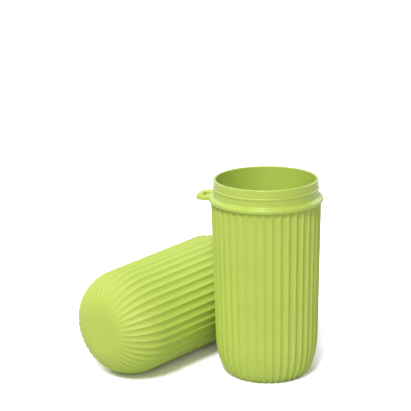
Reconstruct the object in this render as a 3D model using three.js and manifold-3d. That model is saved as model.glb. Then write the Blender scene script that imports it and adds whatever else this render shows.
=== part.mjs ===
// A travel toothbrush case: a fluted cup standing upright, and its fluted lid lying on its side next to it.
// Millimetres, +Z up. The origin is the centre of the cup's base, on the surface that both pieces rest on.
import * as THREE from "three";
import { mergeVertices } from "three/addons/utils/BufferGeometryUtils.js";
import Module from "manifold-3d";

const { degToRad } = THREE.MathUtils;

// Flutes, alike on both mouldings: shallow hollows along the wall, which meet in narrow ridges
const fluteCount = 40;
const fluteDepth = 0.9;
const fluteShare = 0.92; // share of the pitch that a flute takes, the rest being its ridge
const cupFluteTurn = degToRad(2.9); // from +X to the bottom of one of the cup's flutes

// The cup's neck, and the slip fit of the lid on it
const neckRadius = 28.86;
const neckWall = 1.5;
const neckHeight = 9.8; // from the flange's seat to the rim
const neckRootFillet = 1;
const rimRounding = 0.5;
const beadHeight = 0.35; // how far the grip bead stands out of the neck
const beadWidth = 1.3;
const beadBelowRim = 5.1;
const fitClearance = 0.25; // radial, from the bead to the lid's bore

// The lid
const lidLength = 99;
const lidTaper = 1.27; // radius lost between the mouth and the dome
const lidMouthWall = 1.04; // behind the flutes, at the mouth
const lidLeadIn = 0.5; // chamfer at the mouth of the bore
const domeHeight = 22.7;
const domeRunOut = degToRad(55); // first part of the dome's quarter turn, where the flutes run out
const domeWall = 1.4; // behind the flutes, where the dome begins
const endRadius = 10; // the plain flat in the middle of the closed end
const endWall = 2;

// The flange that the lid seats on
const flangeLip = 0.1; // how far it stands out past the lid's mouth
const flangeHeight = 2.7;
const flangeShoulder = 1.3; // rounding of its upper edge
const flangeRounding = 0.8; // of its lower edge
const flangeOverhang = 1.2; // how far it stands out past the ridges under it

// The cup
const cupHeight = 112.15;
const cupTaper = 1.47; // radius lost between the flange and the foot
const footHeight = 23.3;
const footWidth = 8.7; // how far the rounded foot draws in to the flat base
const footRunOut = degToRad(9); // first part of the foot's quarter turn, where the flutes run out
const footWall = 1.5; // behind the flutes, where the foot begins
const baseWall = 2;

// The hanging loop on the flange
const loopReach = 7.2; // past the flange
const loopWidth = 17;
const loopCorner = 5;
const loopThickness = 2;
const loopRaise = 0.2; // above the flange's underside
const loopBand = 2.9; // material outside the hole
const loopHoleReach = 3.6;
const loopHoleWidth = 6.4;
const loopEdge = 0.25; // chamfer
const loopAngle = degToRad(204.6); // from +X, seen from above

// Where the lid lies
const lidGap = 0.4; // to the cup, where the two come closest
const lidMouthAlong = 27; // from the cup's axis to the mouth, along the lid

// Facets
const turnedSegments = 72;
const loopSegments = 10;
const arcSteps = 3;
const footSteps = 6;
const domeSteps = 8;
const cutPast = 1; // how far a cut runs past the face that it opens

// Sizes that follow from those above
const lidBore = neckRadius + beadHeight + fitClearance;
const lidMouthRadius = lidBore + lidMouthWall + fluteDepth;
const domeRadius = lidMouthRadius - lidTaper;
const flangeRadius = lidMouthRadius + flangeLip;
const cupTopRadius = flangeRadius - flangeOverhang;
const footRadius = cupTopRadius - cupTaper;
const baseRadius = footRadius - footWidth;
const seatHeight = cupHeight - neckHeight;
const flangeUnderside = seatHeight - flangeHeight;
const flangeMiddle = seatHeight - 0.5 * flangeHeight;

// A point of a profile: its radius from the axis, and its height along it
const at = (radius, height) => new THREE.Vector2(radius, height);

// Points along an arc, or along part of an ellipse, between two angles in degrees
function arc(centre, radiusAcross, radiusAlong, from, to, steps) {
  const points = [];
  for (let i = 0; i <= steps; i++) {
    const turn = degToRad(from + ((to - from) * i) / steps);
    points.push(at(centre.x + radiusAcross * Math.cos(turn), centre.y + radiusAlong * Math.sin(turn)));
  }
  return points;
}

const wasm = await Module();
wasm.setup();

// A closed geometry as a solid that can be joined and cut. Faces that closed up on the axis are dropped.
function solidOf(geometry) {
  const bare = geometry.clone();
  bare.deleteAttribute("normal");
  bare.deleteAttribute("uv");
  const merged = mergeVertices(bare);
  const corners = merged.index.array;
  const kept = [];
  for (let i = 0; i < corners.length; i += 3) {
    const [a, b, c] = corners.subarray(i, i + 3);
    if (a !== b && b !== c && c !== a) kept.push(a, b, c);
  }
  const vertProperties = merged.attributes.position.array;
  return new wasm.Manifold(new wasm.Mesh({ numProp: 3, vertProperties, triVerts: new Uint32Array(kept) }));
}

// A solid of revolution about Z. Its profile climbs from the axis to the axis.
function turnedSolid(profile) {
  return solidOf(new THREE.LatheGeometry(profile, turnedSegments).rotateX(Math.PI / 2));
}

// A solid skinned over rings that climb along Z, closed flat at both ends
function skinnedSolid(rings) {
  const count = rings[0].length;
  const middleOf = (ring) => new THREE.Vector3(0, 0, ring[0].z);
  const points = [...rings.flat(), middleOf(rings[0]), middleOf(rings.at(-1))];
  const lowMiddle = points.length - 2;
  const highMiddle = points.length - 1;
  const lastRing = lowMiddle - count;
  const faces = [];
  for (let i = 0; i < count; i++) {
    const next = (i + 1) % count;
    faces.push(lowMiddle, next, i);
    faces.push(highMiddle, lastRing + i, lastRing + next);
    for (let row = 0; row < lastRing; row += count) {
      faces.push(row + i, row + next, row + count + next);
      faces.push(row + i, row + count + next, row + count + i);
    }
  }
  return solidOf(new THREE.BufferGeometry().setFromPoints(points).setIndex(faces));
}

// The section of one flute and ridge. place is in shares of the pitch, from the flute's bottom, and cut is
// the share of the flute's depth that is gone there. A flute is a parabola, and the ridge's top is plain.
const fluteSection = [
  { place: 0, cut: 1 },
  { place: 0.25 * fluteShare, cut: 0.75 },
  { place: 0.5 * fluteShare, cut: 0 },
  { place: 1 - 0.5 * fluteShare, cut: 0 },
  { place: 1 - 0.25 * fluteShare, cut: 0.75 },
];

// One ring of a fluted skin. Ridges lie on the profile's point, and flutes are sunk along its normal.
function flutedRing(point, normal, depth, firstTurn) {
  const ring = [];
  for (let flute = 0; flute < fluteCount; flute++) {
    for (const { place, cut } of fluteSection) {
      const turn = firstTurn + (2 * Math.PI * (flute + place)) / fluteCount;
      const radius = point.x - normal.x * depth * cut;
      const height = point.y - normal.y * depth * cut;
      ring.push(new THREE.Vector3(radius * Math.cos(turn), radius * Math.sin(turn), height));
    }
  }
  return ring;
}

// The outside of a moulding, drawn with its closed end down: a plain flat at height 0, a quarter ellipse out
// to the corner, and a drafted wall to the top. On the rounded end the flutes grow shallower with the pitch.
function flutedSolid(flatRadius, corner, top, steps, runOut, firstTurn) {
  const width = corner.x - flatRadius;
  const rings = [];
  for (let i = 0; i <= steps; i++) {
    const turn = (0.5 * Math.PI * i) / steps;
    const point = at(flatRadius + width * Math.sin(turn), corner.y * (1 - Math.cos(turn)));
    const normal = at(Math.sin(turn) / width, -Math.cos(turn) / corner.y).normalize();
    const narrowing = point.x / corner.x;
    const depth = fluteDepth * narrowing * Math.min(1, turn / runOut);
    rings.push(flutedRing(point, normal, depth, firstTurn));
  }
  rings.push(flutedRing(top, at(1, 0), fluteDepth, firstTurn));
  return skinnedSolid(rings);
}

// The hollow of a moulding: a flat floor, a quarter ellipse out to the corner, a drafted wall and the mouth
function hollowSolid(floor, corner, mouth, steps) {
  return turnedSolid([
    at(0, floor.y),
    ...arc(at(floor.x, corner.y), corner.x - floor.x, corner.y - floor.y, -90, 0, steps),
    ...mouth,
    at(0, mouth.at(-1).y),
  ]);
}

// The flange, the neck with its bead, and the rim, solid, in one turned profile
function collarSolid() {
  const lowEdge = at(flangeRadius - flangeRounding, flangeUnderside + flangeRounding);
  const highEdge = at(flangeRadius - flangeShoulder, seatHeight - flangeShoulder);
  const root = at(neckRadius + neckRootFillet, seatHeight + neckRootFillet);
  const bead = at(neckRadius, cupHeight - beadBelowRim);
  const rim = at(neckRadius - rimRounding, cupHeight - rimRounding);
  return turnedSolid([
    at(0, flangeUnderside),
    ...arc(lowEdge, flangeRounding, flangeRounding, -90, 0, arcSteps),
    ...arc(highEdge, flangeShoulder, flangeShoulder, 0, 90, arcSteps),
    ...arc(root, neckRootFillet, neckRootFillet, 270, 180, arcSteps),
    ...arc(bead, beadHeight, 0.5 * beadWidth, -90, 90, arcSteps + 1),
    ...arc(rim, rimRounding, rimRounding, 0, 90, arcSteps),
    at(0, cupHeight),
  ]);
}

// The flat hanging loop: a tab with round corners and an oval hole, standing out of the flange
function loopSolid() {
  const tip = flangeRadius + loopReach;
  const side = 0.5 * loopWidth;
  const holeCentre = tip - loopBand - 0.5 * loopHoleReach;
  const tab = new THREE.Shape();
  tab.moveTo(0, -side);
  tab.absarc(tip - loopCorner, loopCorner - side, loopCorner, -0.5 * Math.PI, 0);
  tab.absarc(tip - loopCorner, side - loopCorner, loopCorner, 0, 0.5 * Math.PI);
  tab.lineTo(0, side);
  const hole = new THREE.Path();
  hole.absellipse(holeCentre, 0, 0.5 * loopHoleReach, 0.5 * loopHoleWidth, 0, 2 * Math.PI);
  tab.holes.push(hole);
  const plate = new THREE.ExtrudeGeometry(tab, {
    depth: loopThickness - 2 * loopEdge,
    curveSegments: loopSegments,
    bevelThickness: loopEdge,
    bevelSize: loopEdge,
    bevelOffset: -loopEdge,
    bevelSegments: 1,
  });
  plate.translate(0, 0, flangeUnderside + loopRaise + loopEdge);
  return solidOf(plate.rotateZ(loopAngle));
}

// The cup: its fluted outside, collar and loop in one moulding, hollow from the rim to the floor
function cupSolid() {
  const corner = at(footRadius, footHeight);
  const top = at(cupTopRadius, flangeMiddle);
  const outside = flutedSolid(baseRadius, corner, top, footSteps, footRunOut, cupFluteTurn);
  const inCorner = at(footRadius - fluteDepth - footWall, footHeight);
  const lip = at(neckRadius - neckWall + rimRounding, cupHeight - rimRounding);
  const mouth = arc(lip, rimRounding, rimRounding, 180, 90, arcSteps);
  mouth.push(at(lip.x, cupHeight + cutPast));
  const hollow = hollowSolid(at(baseRadius, baseWall), inCorner, mouth, footSteps);
  return outside.add(collarSolid()).add(loopSolid()).subtract(hollow);
}

// The lid: its fluted outside, hollow from the mouth, where a chamfer leads the neck into the bore
function lidSolid() {
  const corner = at(domeRadius, domeHeight);
  const top = at(lidMouthRadius, lidLength);
  const outside = flutedSolid(endRadius, corner, top, domeSteps, domeRunOut, 0);
  const inCorner = at(domeRadius - fluteDepth - domeWall, domeHeight);
  const mouth = [
    at(lidBore, lidLength - lidLeadIn),
    at(lidBore + lidLeadIn, lidLength),
    at(lidBore + lidLeadIn, lidLength + cutPast),
  ];
  const hollow = hollowSolid(at(endRadius, endWall), inCorner, mouth, domeSteps);
  return outside.subtract(hollow);
}

// A mesh of lime-green moulded polypropylene, semi-gloss
function moulding(name, solid) {
  const { vertProperties, triVerts } = solid.getMesh();
  const geometry = new THREE.BufferGeometry();
  geometry.setAttribute("position", new THREE.BufferAttribute(vertProperties, 3));
  geometry.setIndex(new THREE.BufferAttribute(triVerts, 1));
  geometry.computeVertexNormals();
  const material = new THREE.MeshStandardMaterial({ color: "#b9d25a", roughness: 0.42, metalness: 0 });
  const mesh = new THREE.Mesh(geometry, material);
  mesh.name = name;
  return mesh;
}

const cup = moulding("cup", cupSolid());
const lid = moulding("lid", lidSolid());

// The lid lies along Y on the two ridges beside its lowest flute, with its closed end towards -Y.
// It tips by its own taper, so that those ridges lie flat on the surface along the whole wall.
const wallLength = lidLength - domeHeight;
const lowRidgeTurn = (Math.PI * fluteShare) / fluteCount;
const lidTip = Math.atan((lidTaper * Math.cos(lowRidgeTurn)) / wallLength);
const mouthHeight = lidMouthRadius * Math.cos(lowRidgeTurn) * Math.cos(lidTip);

// The two come closest where the lid passes the cup's axis.
const passHeight = mouthHeight - lidMouthAlong * Math.sin(lidTip);
const passShare = (passHeight - footHeight) / (flangeMiddle - footHeight);
const passCupRadius = footRadius + cupTaper * passShare;
const passLidRadius = lidMouthRadius - (lidTaper * lidMouthAlong) / wallLength;

lid.position.x = -(passCupRadius + lidGap + passLidRadius);
lid.position.y = lidMouthAlong - lidLength * Math.cos(lidTip);
lid.position.z = mouthHeight - lidLength * Math.sin(lidTip);
lid.rotation.x = lidTip - 0.5 * Math.PI;

const toothbrushCase = new THREE.Group();
toothbrushCase.add(cup, lid);

export default toothbrushCase;
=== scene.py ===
# %% [markdown]
# # A travel toothbrush case
# The object is two plastic mouldings: a fluted cup that stands upright, and the fluted, round-ended lid
# that has been taken off it and laid beside it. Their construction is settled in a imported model, which
# this lesson loads first, as a fixed frame. Blender then adds the looks: finer meshes in the same places,
# the plastic, the light and the camera.

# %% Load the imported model
import math

import bmesh
import bpy
from mathutils import Matrix, Vector


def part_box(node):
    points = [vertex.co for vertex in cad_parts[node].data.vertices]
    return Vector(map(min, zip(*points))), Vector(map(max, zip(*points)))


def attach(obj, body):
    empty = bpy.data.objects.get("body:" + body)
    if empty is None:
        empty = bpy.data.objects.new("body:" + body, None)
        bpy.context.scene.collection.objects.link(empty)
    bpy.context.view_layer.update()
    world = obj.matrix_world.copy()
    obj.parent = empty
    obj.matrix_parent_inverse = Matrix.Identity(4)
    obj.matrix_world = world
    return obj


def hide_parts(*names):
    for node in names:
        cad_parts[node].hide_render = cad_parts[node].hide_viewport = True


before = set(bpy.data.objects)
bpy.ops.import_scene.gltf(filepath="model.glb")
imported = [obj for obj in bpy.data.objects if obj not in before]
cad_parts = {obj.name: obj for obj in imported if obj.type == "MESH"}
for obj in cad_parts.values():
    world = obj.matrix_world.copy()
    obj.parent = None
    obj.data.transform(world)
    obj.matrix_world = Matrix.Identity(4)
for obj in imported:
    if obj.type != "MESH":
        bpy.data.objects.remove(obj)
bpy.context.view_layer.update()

# %% [markdown]
# ## Sizes from the frame
# Blender works in metres, and mouldings are drawn in millimetres, so sizes here are millimetres and one
# factor turns them into Blender's units. The overall sizes are read from the frame, so the fine meshes
# can't drift away from it.

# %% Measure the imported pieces
MM = 0.001
cup_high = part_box("cup")[1]
lid_low, lid_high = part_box("lid")
cup_height = cup_high.z / MM
flange_radius = cup_high.x / MM
lid_width = (lid_high.x - lid_low.x) / MM
print(f"Cup {cup_height:.2f} mm high, flange radius {flange_radius:.2f} mm, lid {lid_width:.2f} mm wide")

# %% [markdown]
# ## One flute, modelled once
# Both mouldings are fluted like a column: forty shallow hollows run along the wall, and they meet in
# forty narrow ridges. The flutes could be cut with forty rods and a Boolean, but that leaves hundreds of
# ragged faces. Instead one slice of the wall, a single flute wide, is made with its hollow in the middle.
# Then the slice is copied round the axis and merged, so every flute is exactly alike and the wall is one
# skin.

# %% Flute sizes
FLUTE_COUNT = 40
FLUTE_PITCH = 2 * math.pi / FLUTE_COUNT
FLUTE_SHARE = 0.92
FLUTE_DEPTH = 0.9
FLUTE_STEPS = 14
RIDGE_STEPS = 1
print(f"One flute and ridge takes {math.degrees(FLUTE_PITCH):.1f} degrees, {FLUTE_SHARE:.0%} of it flute")

# %% [markdown]
# ## Drawing an outline
# A turned wall starts as its outline: half of its section, as a chain of edges. By hand you would add a
# plane, merge its corners into one vertex, and extrude that vertex from point to point. The same is done
# here. Round stretches of an outline come from one arc function, which also draws parts of an ellipse.

# %% Outline helpers
def arc(centre, across, along, start, end, steps):
    """Points (radius, height) on part of an ellipse, between two angles in degrees."""
    points = []
    for step in range(steps + 1):
        turn = math.radians(start + (end - start) * step / steps)
        points.append((centre[0] + across * math.cos(turn), centre[1] + along * math.sin(turn)))
    return points


def draw_chain(name, points):
    """A new piece in edit mode: a chain of edges through the points, all selected."""
    bpy.ops.object.select_all(action="DESELECT")
    bpy.ops.mesh.primitive_plane_add(size=MM)
    piece = bpy.context.object
    piece.name = name
    bpy.ops.object.mode_set(mode="EDIT")
    bpy.ops.mesh.select_mode(type="VERT")
    bpy.ops.mesh.merge(type="CENTER")
    bpy.ops.transform.translate(value=points[0])
    for start, end in zip(points, points[1:]):
        bpy.ops.mesh.extrude_vertices_move(TRANSFORM_OT_translate={"value": end - start})
    bpy.ops.mesh.select_all(action="SELECT")
    return piece


# %% [markdown]
# ## From an outline to a slice of wall
# Spin sweeps a selected chain round an axis, and it leaves the last row selected, so three spins in a row
# can have different steps: half a ridge, the flute, and half a ridge.

# %% Make one slice
def slice_of(name, outline):
    """The strip that the outline, given as (radius, height) points, sweeps over one flute and ridge."""
    first_turn = -0.5 * FLUTE_PITCH
    across = Vector((math.cos(first_turn), math.sin(first_turn), 0))
    points = [(across * radius + Vector((0, 0, height))) * MM for radius, height in outline]
    piece = draw_chain(name, points)
    half_ridge = (0.5 * (1 - FLUTE_SHARE) * FLUTE_PITCH, RIDGE_STEPS)
    flute = (FLUTE_SHARE * FLUTE_PITCH, FLUTE_STEPS)
    for turn, steps in (half_ridge, flute, half_ridge):
        bpy.ops.mesh.spin(steps=steps, angle=turn, center=(0, 0, 0), axis=(0, 0, 1))
    bpy.ops.object.mode_set(mode="OBJECT")
    print(f"{name}: {len(outline)} outline points, {len(piece.data.polygons)} faces")
    return piece


# %% [markdown]
# ## Sinking the flute
# A Displace modifier moves each vertex along its normal, as deep as the vertex's weight says. The weight
# follows a parabola across the flute, which is as good as an arc at this depth: hollow in the middle, and
# steepest at the ridges. On the cup's foot and on the lid's dome the flutes close in on the axis. There
# they grow shallower with the pitch, and they fade out before the flat in the middle. The weight is kept
# as a mesh attribute too, because the material later reads how deep in a flute a point lies.

# %% How deep a point lies
def smooth(share):
    """0 to 1 with no corner at either end."""
    share = min(1, max(0, share))
    return share * share * (3 - 2 * share)


def flute_weight(point, flat_radius, corner, fade_turn):
    """How deep the flute is at a point of the slice: 0 on a ridge, 1 on the bottom line of the wall."""
    turn = math.atan2(point.y, point.x)
    off_centre = (turn + 0.5 * FLUTE_PITCH) % FLUTE_PITCH - 0.5 * FLUTE_PITCH
    across = min(1, abs(off_centre) / (0.5 * FLUTE_SHARE * FLUTE_PITCH))
    weight = 1 - across * across
    if point.z < corner[1] * MM:
        radius = point.xy.length / MM
        reach = min(1, max(0, (radius - flat_radius) / (corner[0] - flat_radius)))
        weight *= radius / corner[0] * smooth(math.asin(reach) / fade_turn)
    return weight


# %% Sink the flute
def face_outwards(piece):
    """Flips an open strip whose widest face looks towards the axis."""
    widest = max(piece.data.polygons, key=lambda face: face.area)
    if widest.normal.xy.dot(widest.center.xy) < 0:
        bpy.ops.object.mode_set(mode="EDIT")
        bpy.ops.mesh.select_all(action="SELECT")
        bpy.ops.mesh.flip_normals()
        bpy.ops.object.mode_set(mode="OBJECT")


def sink_flute(piece, flat_radius, corner, fade_turn):
    """Sinks the flute into a slice along its normals."""
    face_outwards(piece)
    weights = [flute_weight(vertex.co, flat_radius, corner, fade_turn) for vertex in piece.data.vertices]
    group = piece.vertex_groups.new(name="flute")
    for index, weight in enumerate(weights):
        group.add([index], weight, "REPLACE")
    sink = piece.modifiers.new("flute", "DISPLACE")
    sink.vertex_group = group.name
    sink.mid_level = 0
    sink.strength = -FLUTE_DEPTH * MM
    bpy.ops.object.modifier_apply(modifier=sink.name)
    piece.vertex_groups.clear()
    depth = piece.data.attributes.new("flute_depth", "FLOAT", "POINT")
    depth.data.foreach_set("value", weights)


# %% [markdown]
# ## Joining slices and copying them round
# The plain parts of a moulding, its inside and its collar, are a second slice with the same columns. The
# two slices are joined and the gap between their open rows is bridged. Spin with its duplicate option
# then copies the slice round the axis. Merging the doubles closes the seams and the poles, and only then
# are the normals recalculated.

# %% Bridge two slices
ROW_SLACK = 0.02


def select_edges(piece, wanted):
    """In edit mode, selects the edges for which wanted says yes."""
    bpy.ops.mesh.select_mode(type="EDGE")
    bpy.ops.mesh.select_all(action="DESELECT")
    mesh = bmesh.from_edit_mesh(piece.data)
    for edge in mesh.edges:
        if wanted(edge):
            edge.select_set(True)
    bmesh.update_edit_mesh(piece.data)


def open_row_at(height):
    """A test for the edges of an open row at this height, give or take what a sunk flute shifts it."""
    def on_row(edge):
        return edge.is_boundary and all(abs(vertex.co.z / MM - height) < ROW_SLACK for vertex in edge.verts)
    return on_row


def join_slices(piece, other, height):
    """Joins another slice to this one, and bridges their open rows at the height where they meet."""
    bpy.ops.object.select_all(action="DESELECT")
    piece.select_set(True)
    other.select_set(True)
    bpy.context.view_layer.objects.active = piece
    bpy.ops.object.join()
    bpy.ops.object.mode_set(mode="EDIT")
    select_edges(piece, open_row_at(height))
    bpy.ops.mesh.bridge_edge_loops()
    bpy.ops.object.mode_set(mode="OBJECT")


# %% Copy a slice round and close it
MERGE_GAP = 0.001


def copy_round(piece):
    """Copies the slice round the axis and merges it into one closed skin."""
    bpy.ops.object.mode_set(mode="EDIT")
    bpy.ops.mesh.select_all(action="SELECT")
    copies = FLUTE_COUNT - 1
    last_turn = copies * FLUTE_PITCH
    bpy.ops.mesh.spin(steps=copies, dupli=True, angle=last_turn, center=(0, 0, 0), axis=(0, 0, 1))
    bpy.ops.mesh.select_all(action="SELECT")
    bpy.ops.mesh.remove_doubles(threshold=MERGE_GAP * MM)
    bpy.ops.mesh.normals_make_consistent(inside=False)
    bpy.ops.object.mode_set(mode="OBJECT")


def open_edges(piece):
    """How many edges don't have exactly two faces. A closed skin has none."""
    mesh = bmesh.new()
    mesh.from_mesh(piece.data)
    count = sum(not edge.is_manifold for edge in mesh.edges)
    mesh.free()
    return count


# %% [markdown]
# ## The cup's fluted wall and foot
# The cup is wider at the top than at the foot, because a moulding needs that draft to leave its mould.
# Its foot is a quarter of an ellipse down to a flat base. The outline starts on the axis, so the base
# closes in one point.

# %% Cup wall sizes
FLANGE_HEIGHT = 2.7
FLANGE_OVERHANG = 1.2
NECK_HEIGHT = 9.8
CUP_TAPER = 1.47
FOOT_HEIGHT = 23.3
FOOT_WIDTH = 8.7
FOOT_STEPS = 30
FOOT_FADE = math.radians(9)

seat_height = cup_height - NECK_HEIGHT
flange_underside = seat_height - FLANGE_HEIGHT
cup_top_radius = flange_radius - FLANGE_OVERHANG
foot_radius = cup_top_radius - CUP_TAPER
base_radius = foot_radius - FOOT_WIDTH
print(f"Fluted wall {2 * cup_top_radius:.1f} mm across at its top, flat base {2 * base_radius:.1f} mm")

# %% Cup wall
foot_corner = (foot_radius, FOOT_HEIGHT)
cup_outline = [(0, 0)]
cup_outline += arc((base_radius, FOOT_HEIGHT), FOOT_WIDTH, FOOT_HEIGHT, -90, 0, FOOT_STEPS)
cup_outline += [(cup_top_radius, flange_underside)]
cup = slice_of("cup_moulding", cup_outline)
sink_flute(cup, base_radius, foot_corner, FOOT_FADE)

# %% [markdown]
# ## The cup's collar and inside
# Above the flutes stands the flange that the lid seats on, and above that the plain neck with a low bead
# that grips the lid. Every edge is rounded, as it has to be to leave the mould, and those small rounds
# are what catches the light. The outline goes on over the rim and down the plain inside to the floor.

# %% Collar sizes
FLANGE_ROUNDING = 0.8
FLANGE_SHOULDER = 1.3
NECK_INSET = 2.64
NECK_WALL = 1.5
NECK_ROOT_FILLET = 1.0
RIM_ROUNDING = 0.5
BEAD_HEIGHT = 0.35
BEAD_WIDTH = 1.3
BEAD_BELOW_RIM = 5.1
FOOT_WALL = 1.5
BASE_WALL = 2.0
EDGE_STEPS = 6
BEAD_STEPS = 8
HOLLOW_STEPS = 16

neck_radius = flange_radius - NECK_INSET
flange_low = (flange_radius - FLANGE_ROUNDING, flange_underside + FLANGE_ROUNDING)
flange_high = (flange_radius - FLANGE_SHOULDER, seat_height - FLANGE_SHOULDER)
neck_root = (neck_radius + NECK_ROOT_FILLET, seat_height + NECK_ROOT_FILLET)
bead = (neck_radius, cup_height - BEAD_BELOW_RIM)
rim = (neck_radius - RIM_ROUNDING, cup_height - RIM_ROUNDING)
lip = (neck_radius - NECK_WALL + RIM_ROUNDING, cup_height - RIM_ROUNDING)
hollow_radius = foot_radius - FLUTE_DEPTH - FOOT_WALL
print(f"Neck {2 * neck_radius:.2f} mm across, seat at {seat_height:.2f} mm")

# %% Collar and inside
def polish(piece, inner_radius):
    """Marks what lies outside this radius as moulded against polished steel, for the material to read."""
    polished = piece.data.attributes.new("polished", "FLOAT", "POINT")
    polished.data.foreach_set("value", [
        float(vertex.co.xy.length / MM > inner_radius) for vertex in piece.data.vertices
    ])


collar_outline = arc(flange_low, FLANGE_ROUNDING, FLANGE_ROUNDING, -90, 0, EDGE_STEPS)
collar_outline += arc(flange_high, FLANGE_SHOULDER, FLANGE_SHOULDER, 0, 90, EDGE_STEPS)
collar_outline += arc(neck_root, NECK_ROOT_FILLET, NECK_ROOT_FILLET, 270, 180, EDGE_STEPS)
collar_outline += arc(bead, BEAD_HEIGHT, 0.5 * BEAD_WIDTH, -90, 90, BEAD_STEPS)
collar_outline += arc(rim, RIM_ROUNDING, RIM_ROUNDING, 0, 90, EDGE_STEPS)
collar_outline += arc(lip, RIM_ROUNDING, RIM_ROUNDING, 90, 180, EDGE_STEPS)
collar_outline += arc((base_radius, FOOT_HEIGHT), hollow_radius - base_radius, FOOT_HEIGHT - BASE_WALL,
                      0, -90, HOLLOW_STEPS)
collar_outline += [(0, BASE_WALL)]
collar = slice_of("cup_collar", collar_outline)
polish(collar, lip[0])

# %% Close the cup
CUP_TURN = math.radians(2.9)  # sets the ridges where the photograph shows them

join_slices(cup, collar, flange_underside)
copy_round(cup)
cup.rotation_euler.z = CUP_TURN
bpy.ops.object.transform_apply(location=False, rotation=True, scale=False)
print("Cup without its loop:", len(cup.data.polygons), "faces,", open_edges(cup), "open edges")

# %% [markdown]
# ## The hanging loop
# A flat tab with round corners and an oval hole stands out of the flange, so that the case can hang on a
# hook. Its outline is drawn flat, closed into one face and extruded to its thickness. A squeezed cylinder
# then cuts the hole with a Boolean modifier, and a bevel takes the sharp edges off all round, as on any
# moulding.

# %% Loop sizes
LOOP_REACH = 7.2
LOOP_ROOT = 3.0
LOOP_WIDTH = 17.0
LOOP_CORNER = 5.0
LOOP_THICKNESS = 2.0
LOOP_RAISE = 0.2
LOOP_BAND = 2.9
LOOP_HOLE_REACH = 3.6
LOOP_HOLE_WIDTH = 6.4
LOOP_STEPS = 12

loop_tip = flange_radius + LOOP_REACH
loop_side = 0.5 * LOOP_WIDTH
loop_bottom = flange_underside + LOOP_RAISE
hole_centre = loop_tip - LOOP_BAND - 0.5 * LOOP_HOLE_REACH
print(f"Loop reaches {loop_tip:.1f} mm from the axis, hole {LOOP_HOLE_REACH} by {LOOP_HOLE_WIDTH} mm")

# %% Draw the tab
corner_centre = loop_tip - LOOP_CORNER
tab_outline = [(flange_radius - LOOP_ROOT, -loop_side)]
tab_outline += arc((corner_centre, LOOP_CORNER - loop_side), LOOP_CORNER, LOOP_CORNER, -90, 0, LOOP_STEPS)
tab_outline += arc((corner_centre, loop_side - LOOP_CORNER), LOOP_CORNER, LOOP_CORNER, 0, 90, LOOP_STEPS)
tab_outline += [(flange_radius - LOOP_ROOT, loop_side)]
loop = draw_chain("hanging_loop", [Vector((x, y, loop_bottom)) * MM for x, y in tab_outline])
bpy.ops.mesh.edge_face_add()
bpy.ops.mesh.extrude_region_move(TRANSFORM_OT_translate={"value": (0, 0, LOOP_THICKNESS * MM)})
bpy.ops.mesh.select_all(action="SELECT")
bpy.ops.mesh.normals_make_consistent(inside=False)
bpy.ops.object.mode_set(mode="OBJECT")
print("Tab:", len(loop.data.polygons), "faces")

# %% Cut its hole
def activate(piece):
    """Makes a piece the only selected one, and the active one."""
    bpy.ops.object.select_all(action="DESELECT")
    piece.select_set(True)
    bpy.context.view_layer.objects.active = piece


def combine(piece, tool, operation):
    """Joins a tool to a piece, or cuts it out, with an exact Boolean, and removes the tool."""
    activate(piece)
    boolean = piece.modifiers.new("combine", "BOOLEAN")
    boolean.operation = operation
    boolean.solver = "EXACT"
    boolean.object = tool
    bpy.ops.object.modifier_apply(modifier=boolean.name)
    bpy.data.objects.remove(tool)


hole_place = Vector((hole_centre, 0, loop_bottom + 0.5 * LOOP_THICKNESS)) * MM
bpy.ops.object.select_all(action="DESELECT")
bpy.ops.mesh.primitive_cylinder_add(
    vertices=4 * LOOP_STEPS,
    radius=0.5 * LOOP_HOLE_WIDTH * MM,
    depth=2 * LOOP_THICKNESS * MM,
    location=hole_place,
)
cutter = bpy.context.object
bpy.ops.object.mode_set(mode="EDIT")
bpy.ops.transform.resize(value=(LOOP_HOLE_REACH / LOOP_HOLE_WIDTH, 1, 1), center_override=hole_place)
bpy.ops.object.mode_set(mode="OBJECT")
combine(loop, cutter, "DIFFERENCE")
print("Tab with its hole:", len(loop.data.polygons), "faces")

# %% Soften its edges and turn it to its place
SHARP_ANGLE = math.radians(60)
BEVEL_STEPS = 3
LOOP_EDGE = 0.3
LOOP_TURN = math.radians(204.6)


def is_sharp(edge):
    """Whether the two faces of an edge meet at a clear angle."""
    return edge.calc_face_angle(0) > SHARP_ANGLE


def soften(piece, wanted, size):
    """Bevels the edges for which wanted says yes. The piece has to be the active one."""
    bpy.ops.object.mode_set(mode="EDIT")
    select_edges(piece, wanted)
    bpy.ops.mesh.bevel(offset=size * MM, segments=BEVEL_STEPS, affect="EDGES")
    bpy.ops.object.mode_set(mode="OBJECT")


soften(loop, is_sharp, LOOP_EDGE)
loop.rotation_euler.z = LOOP_TURN
bpy.ops.object.transform_apply(location=False, rotation=True, scale=False)
print("Hanging loop:", len(loop.data.polygons), "faces,", open_edges(loop), "open edges")

# %% [markdown]
# ## One moulding
# The loop comes out of the same shot of plastic as the cup, so a Boolean modifier joins the two into one
# skin. The exact solver cuts each face where the tab leaves the flange, and nothing is left hidden inside
# the wall.

# %% Join the loop to the cup
SMOOTH_ANGLE = math.radians(42)

combine(cup, loop, "UNION")
bpy.ops.object.shade_smooth_by_angle(angle=SMOOTH_ANGLE)
print("Cup:", len(cup.data.polygons), "faces,", open_edges(cup), "open edges")

# %% [markdown]
# ## The lid's fluted wall and dome
# The lid is drawn with its closed end down, the way the cup is, because both are the same kind of
# moulding: a small flat, a quarter ellipse, and a drafted wall up to the mouth. The flutes run up over
# the dome, which is what makes the end look like a shell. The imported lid's widest ridges lie either side
# of a flute, so they stand out a little less than their radius, and the radius is worked back from the
# lid's width.

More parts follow.
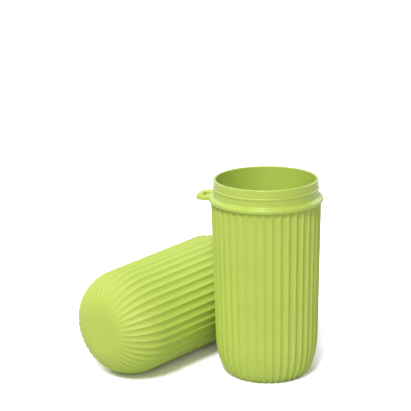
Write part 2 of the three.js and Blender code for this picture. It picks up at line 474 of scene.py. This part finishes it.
# %% Lid sizes
LID_LENGTH = 99.0
LID_TAPER = 1.27
DOME_HEIGHT = 22.7
END_RADIUS = 10.0
END_WALL = 2.0
DOME_WALL = 1.4
DOME_STEPS = 34
DOME_FADE = math.radians(55)
FIT_CLEARANCE = 0.25
LEAD_IN = 0.5

ridge_turn = 0.5 * FLUTE_SHARE * FLUTE_PITCH
lid_mouth_radius = 0.5 * lid_width / math.cos(ridge_turn)
dome_radius = lid_mouth_radius - LID_TAPER
lid_bore = neck_radius + BEAD_HEIGHT + FIT_CLEARANCE
lid_hollow_radius = dome_radius - FLUTE_DEPTH - DOME_WALL
print(f"Lid {2 * lid_mouth_radius:.2f} mm across at its mouth, bore {2 * lid_bore:.2f} mm")

# %% Lid outside
dome_corner = (dome_radius, DOME_HEIGHT)
lid_outline = [(0, 0)]
lid_outline += arc((END_RADIUS, DOME_HEIGHT), dome_radius - END_RADIUS, DOME_HEIGHT, -90, 0, DOME_STEPS)
lid_outline += [(lid_mouth_radius, LID_LENGTH)]
lid = slice_of("lid_moulding", lid_outline)
sink_flute(lid, END_RADIUS, dome_corner, DOME_FADE)

# %% Lid inside
bore_outline = [(lid_bore + LEAD_IN, LID_LENGTH), (lid_bore, LID_LENGTH - LEAD_IN)]
bore_outline += arc((END_RADIUS, DOME_HEIGHT), lid_hollow_radius - END_RADIUS, DOME_HEIGHT - END_WALL,
                    0, -90, HOLLOW_STEPS)
bore_outline += [(0, END_WALL)]
bore = slice_of("lid_bore", bore_outline)
join_slices(lid, bore, LID_LENGTH)
copy_round(lid)

# %% [markdown]
# ## The lid's mouth
# A moulded mouth is never knife sharp, so the edge between the flutes and the mouth's face gets a small
# bevel. It is picked by its place: at the mouth, and outside the bore.

# %% Soften the mouth
MOUTH_EDGE = 0.22
MOUTH_SLACK = 0.1


def on_mouth_edge(edge):
    """Whether an edge lies on the outer edge of the lid's mouth, before the lid is laid down."""
    above = LID_LENGTH - MOUTH_SLACK
    outside = lid_bore + LEAD_IN + MOUTH_SLACK
    return all(
        vertex.co.z / MM > above and vertex.co.xy.length / MM > outside for vertex in edge.verts
    ) and is_sharp(edge)


activate(lid)
soften(lid, on_mouth_edge, MOUTH_EDGE)
bpy.ops.object.shade_smooth_by_angle(angle=SMOOTH_ANGLE)
print("Lid:", len(lid.data.polygons), "faces,", open_edges(lid), "open edges")

# %% [markdown]
# ## Laying the lid down
# The lid lies on the two ridges beside its lowest flute, and it tips by its own taper, so those ridges
# touch the surface along the whole wall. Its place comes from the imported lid's box. The turn is then
# applied, so that the object sits unturned at the origin and the material's pattern stays put.

# %% Lay the lid beside the cup
ridge_height = math.cos(ridge_turn)
lid_tip = math.atan(LID_TAPER * ridge_height / (LID_LENGTH - DOME_HEIGHT))
mouth_tilt = lid_mouth_radius * ridge_height * math.sin(lid_tip)
mouth_centre = Vector((
    0.5 * (lid_low.x + lid_high.x) / MM,
    lid_high.y / MM - mouth_tilt,
    lid_mouth_radius * ridge_height * math.cos(lid_tip),
))
end_centre = mouth_centre - Vector((0, math.cos(lid_tip), math.sin(lid_tip))) * LID_LENGTH
activate(lid)
lid.matrix_world = Matrix.Translation(end_centre * MM) @ Matrix.Rotation(lid_tip - 0.5 * math.pi, 4, "X")
bpy.ops.object.transform_apply(location=True, rotation=True, scale=True)
print("Lid box", [round(v / MM, 2) for v in (*lid.bound_box[0], *lid.bound_box[6])])
print("Packed ", [round(v / MM, 2) for v in (*lid_low, *lid_high)])

# %% [markdown]
# ## Colours and nodes
# Colours are written as sRGB hex values, as a picture editor shows them, and one function turns them into
# the linear numbers that Blender's shaders work in. One small function adds a node with its settings and
# its inputs, where an input is either a value or another node's output. Sockets go by name. Where several
# share a name they go by number, such as 6 and 7 for the two colours of a Mix node, whose mixed colour is
# output 2.

# %% Material helpers
def linear(hex_colour):
    """An sRGB hex colour as linear RGBA."""
    channels = []
    for start in (1, 3, 5):
        value = int(hex_colour[start:start + 2], 16) / 255
        channels.append(value / 12.92 if value <= 0.04045 else ((value + 0.055) / 1.055) ** 2.4)
    return (*channels, 1)


def add(tree, kind, inputs=(), **settings):
    """Adds a node. inputs pairs a socket's name or number with its value or the output that feeds it."""
    node = tree.nodes.new(kind)
    for name, value in settings.items():
        setattr(node, name, value)
    for socket, value in inputs:
        if isinstance(value, bpy.types.NodeSocket):
            tree.links.new(value, node.inputs[socket])
        else:
            node.inputs[socket].default_value = value
    return node


# %% [markdown]
# ## Moulded polypropylene
# The case is injection-moulded polypropylene, coloured right through with a lime pigment. The mould has a
# fine satin finish on the flutes, and polished steel where the lid slips over the neck. That gives the
# eye a light yellow-green with a broad soft sheen, duller down in the flutes, shinier on the ridges that
# hands rub, and glossy on the neck. The pigment is never mixed quite evenly, so the tone drifts over a
# few centimetres.

# %% The pigment
LIME_TONES = ("#b3c750", "#bbcf5a")
PIGMENT_DRIFT = 26.0


def per_metre(size):
    """A noise scale that gives features of about this size in millimetres."""
    return 1 / (size * MM)


plastic = bpy.data.materials.new("moulded_polypropylene_lime")
plastic.use_nodes = True
tree = plastic.node_tree
tree.nodes.clear()
place = add(tree, "ShaderNodeTexCoord").outputs["Object"]
drift = add(tree, "ShaderNodeTexNoise", [
    ("Vector", place), ("Scale", per_metre(PIGMENT_DRIFT)), ("Detail", 3),
])
tone = add(tree, "ShaderNodeMix", [
    (0, drift.outputs["Fac"]), (6, linear(LIME_TONES[0])), (7, linear(LIME_TONES[1])),
], data_type="RGBA")
print("Lime drifts between", *LIME_TONES, "over about", PIGMENT_DRIFT, "mm")

# %% [markdown]
# ## The plastic's sheen
# Roughness sets how broad and soft the sheen is. It wanders a little in patches, because hands don't rub
# evenly. It rises with the depth of the flute, where nothing rubs, and falls where the mould is polished.

# %% The sheen
RUB_PATCH = 9.0
SATIN_ROUGHNESS = (0.5, 0.62)
FLUTE_DULLING = 0.06
POLISHING = -0.28

flute = add(tree, "ShaderNodeAttribute", attribute_name="flute_depth").outputs["Fac"]
polished = add(tree, "ShaderNodeAttribute", attribute_name="polished").outputs["Fac"]
rub = add(tree, "ShaderNodeTexNoise", [
    ("Vector", place), ("Scale", per_metre(RUB_PATCH)), ("Detail", 4),
])
rubbed = add(tree, "ShaderNodeMapRange", [
    ("Value", rub.outputs["Fac"]), ("To Min", SATIN_ROUGHNESS[0]), ("To Max", SATIN_ROUGHNESS[1]),
])
satin = add(tree, "ShaderNodeMath", [
    (0, flute), (1, FLUTE_DULLING), (2, rubbed.outputs["Result"]),
], operation="MULTIPLY_ADD")
roughness = add(tree, "ShaderNodeMath", [
    (0, polished), (1, POLISHING), (2, satin.outputs[0]),
], operation="MULTIPLY_ADD")
print("Satin roughness", *SATIN_ROUGHNESS)

# %% [markdown]
# ## The plastic's surface
# Two bumps finish the surface. Slow, very low waves are there because a moulding shrinks unevenly as it
# cools. On top lies the fine grain of the satin mould, which the polished places don't have.

# %% The surface
SATIN_GRAIN = 0.9  # the real grain is about 0.1 mm, too fine to show, so it is drawn coarser
SATIN_HEIGHT = 0.004
SINK_WAVE = 14.0
SINK_HEIGHT = 0.03
PLASTIC_IOR = 1.5  # polypropylene's is 1.49

wave = add(tree, "ShaderNodeTexNoise", [
    ("Vector", place), ("Scale", per_metre(SINK_WAVE)), ("Detail", 1),
])
waved = add(tree, "ShaderNodeBump", [
    ("Height", wave.outputs["Fac"]), ("Distance", SINK_HEIGHT * MM), ("Strength", 1),
])
grain = add(tree, "ShaderNodeTexNoise", [
    ("Vector", place), ("Scale", per_metre(SATIN_GRAIN)), ("Detail", 2),
])
unpolished = add(tree, "ShaderNodeMath", [(0, 1), (1, polished)], operation="SUBTRACT")
grained = add(tree, "ShaderNodeBump", [
    ("Height", grain.outputs["Fac"]), ("Distance", SATIN_HEIGHT * MM),
    ("Strength", unpolished.outputs[0]), ("Normal", waved.outputs["Normal"]),
])
shader = add(tree, "ShaderNodeBsdfPrincipled", [
    ("Base Color", tone.outputs[2]), ("Roughness", roughness.outputs[0]),
    ("Normal", grained.outputs["Normal"]), ("IOR", PLASTIC_IOR),
])
add(tree, "ShaderNodeOutputMaterial", [("Surface", shader.outputs["BSDF"])])
print(plastic.name, "has", len(tree.nodes), "nodes")

# %% [markdown]
# ## Dressing the frame
# Each fine mesh stands for the imported node of the same piece, moves with that node's body, and takes
# the plastic made above as its finish.

# %% Put the pieces on their bodies
for piece, node in ((cup, "cup"), (lid, "lid")):
    piece.data.name = piece.name
    piece.data.materials.clear()
    piece.data.materials.append(plastic)
    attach(piece, node)
    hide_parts(node)
    print(piece.name, "rides on", node)

# %% [markdown]
# ## Floor and background
# The case is shown on white. The floor is a sheet of pale paper that keeps the shadows. In reflections it
# is as white as the world. To the camera it is exposed past white, as a studio backdrop is, so only the
# shadows close to the object are left. It is also a little cool there, which offsets the green that the
# plastic throws onto it. The world is white where the camera, a reflection or a clear material looks at
# it, and it leaves the lighting to the lamps.

# %% Make the floor
FLOOR_SIZE = 8.0
PAPER = "#dadada"
PAPER_MIRRORED = "#eeeeee"
PAPER_SEEN = "#f9f5ff"
PAST_WHITE = 1.65


def looked_at(tree):
    """An output that is 1 to the camera, a reflection or a clear material, and 0 to other light."""
    rays = add(tree, "ShaderNodeLightPath").outputs
    seen = add(tree, "ShaderNodeMath", [
        (0, rays["Is Camera Ray"]), (1, rays["Is Glossy Ray"]),
    ], operation="MAXIMUM")
    seen = add(tree, "ShaderNodeMath", [
        (0, seen.outputs[0]), (1, rays["Is Transmission Ray"]),
    ], operation="MAXIMUM")
    return seen.outputs[0]


bpy.ops.object.select_all(action="DESELECT")
bpy.ops.mesh.primitive_plane_add(size=FLOOR_SIZE)
floor = bpy.context.object
floor.name = "floor"
floor.data.name = "floor"
paper = bpy.data.materials.new("pale_paper_sweep")
paper.use_nodes = True
tree = paper.node_tree
tree.nodes.clear()
mirrored = add(tree, "ShaderNodeMix", [
    (0, looked_at(tree)), (6, linear(PAPER)), (7, linear(PAPER_MIRRORED)),
], data_type="RGBA")
to_camera = add(tree, "ShaderNodeLightPath").outputs["Is Camera Ray"]
past_white = [PAST_WHITE * channel for channel in linear(PAPER_SEEN)]
shade = add(tree, "ShaderNodeMix", [
    (0, to_camera), (6, mirrored.outputs[2]), (7, past_white),
], data_type="RGBA")
sheet = add(tree, "ShaderNodeBsdfDiffuse", [("Color", shade.outputs[2])])
add(tree, "ShaderNodeOutputMaterial", [("Surface", sheet.outputs[0])])
floor.data.materials.append(paper)
print(f"Floor {FLOOR_SIZE:.0f} m across")

# %% Make the world
world = bpy.data.worlds.new("white_studio")
world.use_nodes = True
bpy.context.scene.world = world
tree = world.node_tree
tree.nodes.clear()
back = add(tree, "ShaderNodeBackground", [("Color", linear("#ffffff")), ("Strength", looked_at(tree))])
add(tree, "ShaderNodeOutputWorld", [("Surface", back.outputs[0])])
print("World", world.name)

# %% [markdown]
# ## The camera
# The view is the photograph's: a long lens, a little above the case, with the lid to the left of the cup.
# The camera is aimed along a line and then rolled slightly about it.

# %% Place the camera
EYE = Vector((417.0, -539.3, 279.8))
AIM = Vector((-25.34, -21.65, 97.11))
ROLL = math.radians(-1.03)
LENS = 112.1
SENSOR_WIDTH = 36
NEAREST_SEEN = 10
FARTHEST_SEEN = 50000

camera_data = bpy.data.cameras.new("camera")
camera_data.lens = LENS
camera_data.sensor_width = SENSOR_WIDTH
camera_data.clip_start = NEAREST_SEEN * MM
camera_data.clip_end = FARTHEST_SEEN * MM
camera = bpy.data.objects.new("camera", camera_data)
bpy.context.scene.collection.objects.link(camera)
looking = (AIM - EYE).to_track_quat("-Z", "Y").to_matrix().to_4x4()
camera.matrix_world = Matrix.Translation(EYE * MM) @ looking @ Matrix.Rotation(ROLL, 4, "Z")
bpy.context.scene.camera = camera
print(f"Camera {(AIM - EYE).length:.0f} mm from its aim")

# %% [markdown]
# ## Light
# The light is a white studio's. A soft key stands high and a little to the left of the camera, so the
# flutes on the cup's right catch it on one flank and fall into shade on the other. Weaker lamps fill in
# from the front, the left, above, and behind on both sides. Each is a sun with a wide angle, which is
# soft and even over the whole floor. The Standard view shows the colours about as they are written.

# %% Place the lamps
LAMPS = (
    # name, degrees to the right of the camera, degrees above the floor, strength, angle across
    ("key_lamp", -17, 52, 2.12, 15),
    ("front_lamp", 0, 25, 0.64, 30),
    ("left_lamp", -90, 50, 0.8, 30),
    ("top_lamp", 0, 85, 0.48, 30),
    ("right_back_lamp", 140, 25, 0.65, 30),
    ("left_back_lamp", -155, 40, 0.55, 30),
)

towards_camera = (EYE - AIM).xy.normalized()
camera_turn = math.atan2(towards_camera.y, towards_camera.x)
for name, right, above, strength, across in LAMPS:
    lamp_data = bpy.data.lights.new(name, "SUN")
    lamp_data.energy = strength
    lamp_data.angle = math.radians(across)
    lamp = bpy.data.objects.new(name, lamp_data)
    turn = camera_turn + math.radians(right)
    rise = math.radians(above)
    stands = Vector((math.cos(turn) * math.cos(rise), math.sin(turn) * math.cos(rise), math.sin(rise)))
    lamp.rotation_euler = stands.to_track_quat("Z", "Y").to_euler()
    bpy.context.scene.collection.objects.link(lamp)
    print(name, "shines from", [round(v, 2) for v in stands])
bpy.context.scene.view_settings.view_transform = "Standard"
